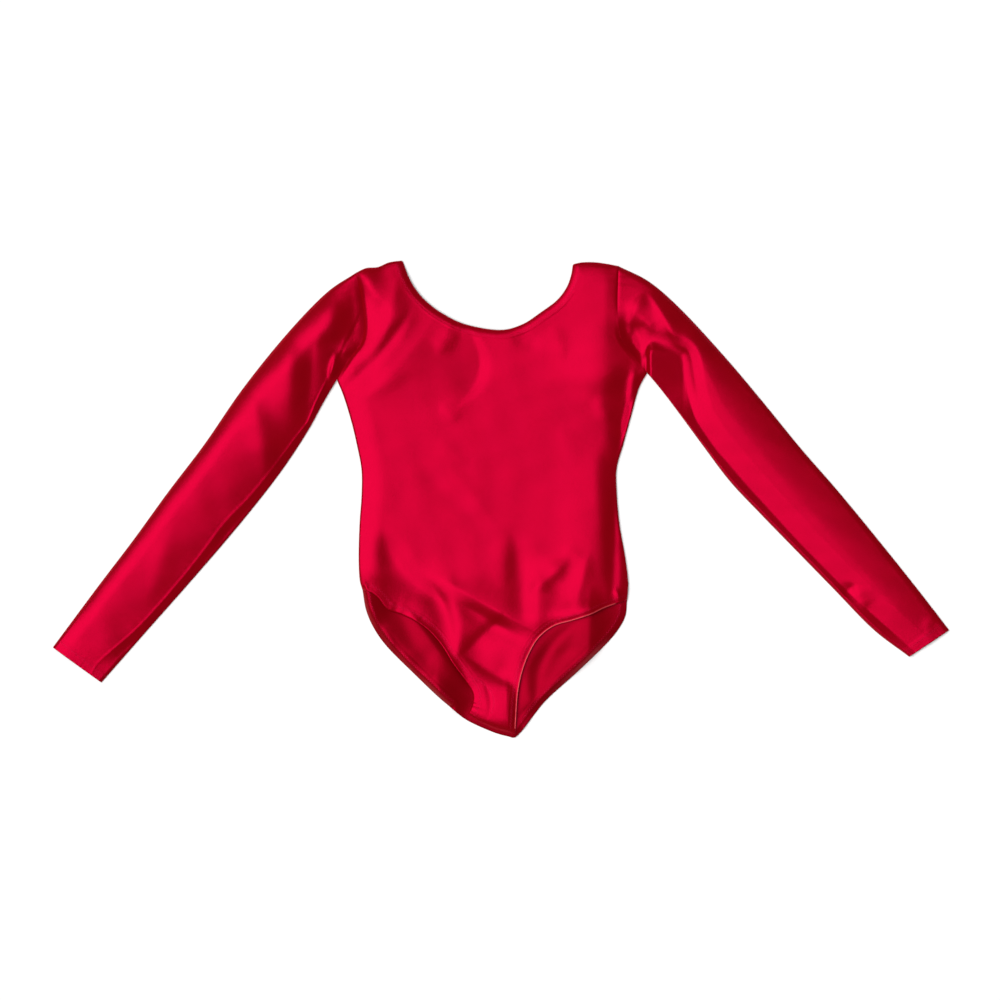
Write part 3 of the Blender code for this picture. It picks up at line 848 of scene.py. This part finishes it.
# Rounded edge of the cuff: rings on a half circle from the outer to the inner side
def cuffLip(ring, inset):
    outwards = ring[-1] - ring[-6]
    outwards /= np.linalg.norm(outwards, axis=-1, keepdims=True)
    middle, arm = (ring[-1] + inset[-1]) / 2, (ring[-1] - inset[-1]) / 2
    turns = np.linspace(0, pi, 6)[1:-1]
    return np.stack([middle + arm * np.cos(turn) + 0.5 * np.sin(turn) * outwards for turn in turns])


# Seam allowance at the armhole: one more ring, outer and inner, moved on a little and tucked low
def tuckedRings(ring, inset):
    tucked, tuckedInside = ring[:1].copy(), inset[:1].copy()
    tucked[..., :2] += (ring[:1] - ring[8:9])[..., :2] / 12
    tucked[..., 2] = cloth["wall"] + 0.15 + 0.1 * (ring[:1, :, 2] > 1)
    tuckedInside[..., :2] += (tucked - ring[:1])[..., :2]
    tuckedInside[..., 2] = (tucked[..., 2] + inset[:1, :, 2]) / 2
    return tucked, tuckedInside


# A sleeve: rings over and under from the armhole to the cuff, rounded there and turned back inside
def makeSleeve(name, sections, hand, armhole, folds, underFolds, seat):
    along = edgeShares(sleeveLook["rings"], (0.0006, 0.0016, 0.003))
    turn = np.linspace(0, pi, sleeveLook["around"] + 1)
    acrossShares = 0.5 * (1 - np.cos(turn)) / 2 + 0.5 * np.linspace(0, 1, len(turn))
    plan = sleevePlan(sections, armhole, along, acrossShares)
    top = sleeveTop(plan, hand, armhole, folds)
    edge = np.minimum(*fromSides(plan))
    groove = threadGroove(fromCuff(plan) - sleeveLook["cuffStitch"])
    hollow = np.clip(foldHeights(plan, underFolds), 0, None) * rise(edge - 3, 12)
    bottom = sleeveLook["lip"] * (1 - rise(edge, 3.2)) + hollow + groove
    ring = np.concatenate([np.dstack([plan, top]), np.dstack([plan, bottom])[:, -2:0:-1]], axis=1)
    inset = insideOf(ring)
    lip = cuffLip(ring, inset)
    tucked, tuckedInside = tuckedRings(ring, inset)
    outer = np.concatenate([tucked, ring, lip])
    inner = np.concatenate([lip[-1:], inset[::-1], tuckedInside, tucked])
    flip = hand == "right"
    piece = makeMesh(name, [(outer, flip), (inner, flip)], ringed=True)
    merge = piece.modifiers.new("join", "WELD")     # joins the rings that the two sides share
    merge.merge_threshold = 0.000002
    dress(piece, seat, [outside, inside])
    return piece, plan, top, bottom


leftSleeve, leftPlan, leftTop, leftUnder = makeSleeve(
    "sleeve_left_cloth", leftSections, "left", "leftArmhole", leftFolds, leftUnderFolds, "sleeve_left")
rightSleeve, rightPlan, rightTop, rightUnder = makeSleeve(
    "sleeve_right_cloth", rightSections, "right", "rightArmhole", rightFolds, rightUnderFolds, "sleeve_right")
print("sleeves made")


# Directions square to a path, on its left hand: its steps turned by a quarter and made one long
def squareTo(path):
    run = np.gradient(path, axis=0)
    return np.column_stack([-run[:, 1], run[:, 0]]) / np.linalg.norm(run, axis=1, keepdims=True)


# Zigzag beside a curve: points a pitch apart, moved square to the curve by inset plus and minus swing
def zigzag(curve, hand, inset):
    count = int(planLength(np.diff(curve, axis=0)).sum() / stitchLook["pitch"])
    path = curveAt(curve[::3], np.linspace(0.004, 0.996, count))
    swing = np.where(np.arange(count) % 2, stitchLook["swing"], -stitchLook["swing"])
    return path + hand * squareTo(path) * (inset + swing)[:, None]


# Thread along a path: rings of six points, about half as high as wide, that never go below the surface
def threadRings(path, heights, radius=stitchLook["thread"]):
    turn = np.linspace(0, 2 * pi, 6, endpoint=False)
    sideways = path[:, None] + squareTo(path)[:, None] * np.cos(turn)[None, :, None] * radius
    up = np.maximum(heights, 0.15)[:, None] + np.sin(turn)[None, :] * radius * 0.55
    return np.dstack([sideways, up])


# Runs of thread rings as one piece of closed tubes in one material
def stitches(name, runs, material=threadRed):
    piece = makeMesh(name, [(rings, True) for rings in runs], ringed=True, capped=True)
    piece.data.polygons.foreach_set("material_index", np.zeros(len(piece.data.polygons), np.int32))
    return dress(piece, None, [material])


# Zigzag beside a named edge, on the surface whose height is the given function of the plan
def hemRun(name, hand, surface, inset=stitchLook["inset"], raised=stitchLook["raised"]):
    path = zigzag(lines[name], hand, inset)
    return threadRings(path, surface(path[None])[0] + raised)


# Middle line of the stitches that curve in beside the crotch
crotchLine = [(-27, -189), (-17, -195), (-9, -204), (-7, -216), (-11, -229)]
crotchPath = zigzag(curveAt(crotchLine, np.linspace(0, 1, 30)), 1, 0)
frontRuns = [
    hemRun("frontNeck", -1, frontTop),
    hemRun("frontLeftLeg", 1, frontTop),
    hemRun("frontRightLeg", -1, frontTop, stitchLook["rightLegInset"]),
    threadRings(crotchPath, frontTop(crotchPath[None])[0] + stitchLook["raised"]),
]
stitches("front_stitches", frontRuns)

# The overlocked edge that shows as a thin cord along the front's right leg; its pale colour is a painted
# highlight along that edge
cordPath = curveAt(edges["frontRightLeg"], np.linspace(0.06, 0.97, 170))
cordPath -= stitchLook["cordInset"] * squareTo(cordPath)
cordHeights = frontTop(cordPath[None])[0] + stitchLook["cordRaised"]
cordRings = threadRings(cordPath, cordHeights, stitchLook["cord"])
stitches("leg_edge_cord", [cordRings], cordPaintedHighlight)

backRuns = []
for name, hand in (("backLeftLeg", 1), ("backRightLeg", -1)):
    backRuns.append(hemRun(name, hand, backTop, raised=stitchLook["seatRaised"]))
for name, hand in (("backNeck", -1), ("backLeftLeg", 1), ("backRightLeg", -1)):
    backRuns.append(hemRun(name, hand, backUnder, raised=stitchLook["sunk"]))
stitches("back_stitches", backRuns)


# Zigzag across a cuff's upper or lower side, read between the points of the sleeve's grid
def cuffRun(plan, heights, raised, corners=44):
    rows = np.linalg.norm(plan[:, 0] - plan[-1, 0], axis=1)
    columns = np.linspace(2, plan.shape[1] - 3, corners)
    inset = sleeveLook["cuffStitch"] + np.where(np.arange(corners) % 2, 1, -1) * stitchLook["swing"]
    row = np.interp(-inset, -rows, np.arange(len(rows)))
    i, j = row.astype(int), columns.astype(int)
    a, b = (row - i)[:, None], (columns - j)[:, None]
    grid = np.dstack([plan, heights])
    before = (1 - b) * grid[i, j] + b * grid[i, j + 1]
    after = (1 - b) * grid[i + 1, j] + b * grid[i + 1, j + 1]
    points = (1 - a) * before + a * after
    return threadRings(points[:, :2], points[:, 2] + raised)


cuffRuns = [
    cuffRun(leftPlan, leftTop, stitchLook["raised"]), cuffRun(leftPlan, leftUnder, stitchLook["sunk"]),
    cuffRun(rightPlan, rightTop, stitchLook["raised"]), cuffRun(rightPlan, rightUnder, stitchLook["sunk"]),
]
stitches("cuff_stitches", cuffRuns)
print("stitching made")

# Stage, light and camera
stage = {
    "floorColour": (0.97, 0.97, 0.97),
    "floorHalf": 3000.0,            # half the floor's side
    "floorHeight": -0.2,
    "world": 0.13,                  # strength of the white light from all round
    "sunPower": 3.22,
    "sunTilt": (22, 4),             # degrees from overhead towards the picture's left and its top
    "sunAngle": 56,                 # degrees: as wide as a soft box close by
    "cameraPlace": (-0.0005, -0.0016, 6.0),     # metres
    "sensor": 36.0,
    "viewWidth": 1.05,              # metres that the picture shows from side to side
    "viewHeight": 0.004,            # height in metres at which it shows them
}


# A flat colour without shine
def plainMaterial(name, colour, roughness):
    material = bpy.data.materials.new(name)
    material.use_nodes = True
    shader = material.node_tree.nodes["Principled BSDF"]
    shader.inputs["Base Color"].default_value = (*colour, 1)
    shader.inputs["Roughness"].default_value = roughness
    shader.inputs["Specular IOR Level"].default_value = 0
    return material


half = stage["floorHalf"]
floorX, floorY = np.meshgrid((-half, half), (half, -half))
floorGrid = np.dstack([floorX, floorY, np.full((2, 2), stage["floorHeight"])])
floor = makeMesh("floor", [(floorGrid, False)])
floor.data.materials.append(plainMaterial("pale floor", stage["floorColour"], 0.9))

world = bpy.data.worlds.new("pale room")
world.use_nodes = True
world.node_tree.nodes["Background"].inputs["Color"].default_value = (1, 1, 1, 1)
world.node_tree.nodes["Background"].inputs["Strength"].default_value = stage["world"]
bpy.context.scene.world = world

sunLight = bpy.data.lights.new("soft light", "SUN")
sunLight.energy = stage["sunPower"]
sunLight.angle = radians(stage["sunAngle"])
sun = bpy.data.objects.new("soft light", sunLight)
sun.rotation_euler = (radians(-stage["sunTilt"][1]), radians(-stage["sunTilt"][0]), 0)
bpy.context.scene.collection.objects.link(sun)

camera = bpy.data.objects.new("camera", bpy.data.cameras.new("camera"))
camera.location = stage["cameraPlace"]
camera.data.sensor_width = stage["sensor"]
camera.data.lens = stage["sensor"] * (stage["cameraPlace"][2] - stage["viewHeight"]) / stage["viewWidth"]
camera.data.clip_end = 20
bpy.context.scene.collection.objects.link(camera)
bpy.context.scene.camera = camera
bpy.context.scene.view_settings.view_transform = "Standard"
print("stage made")
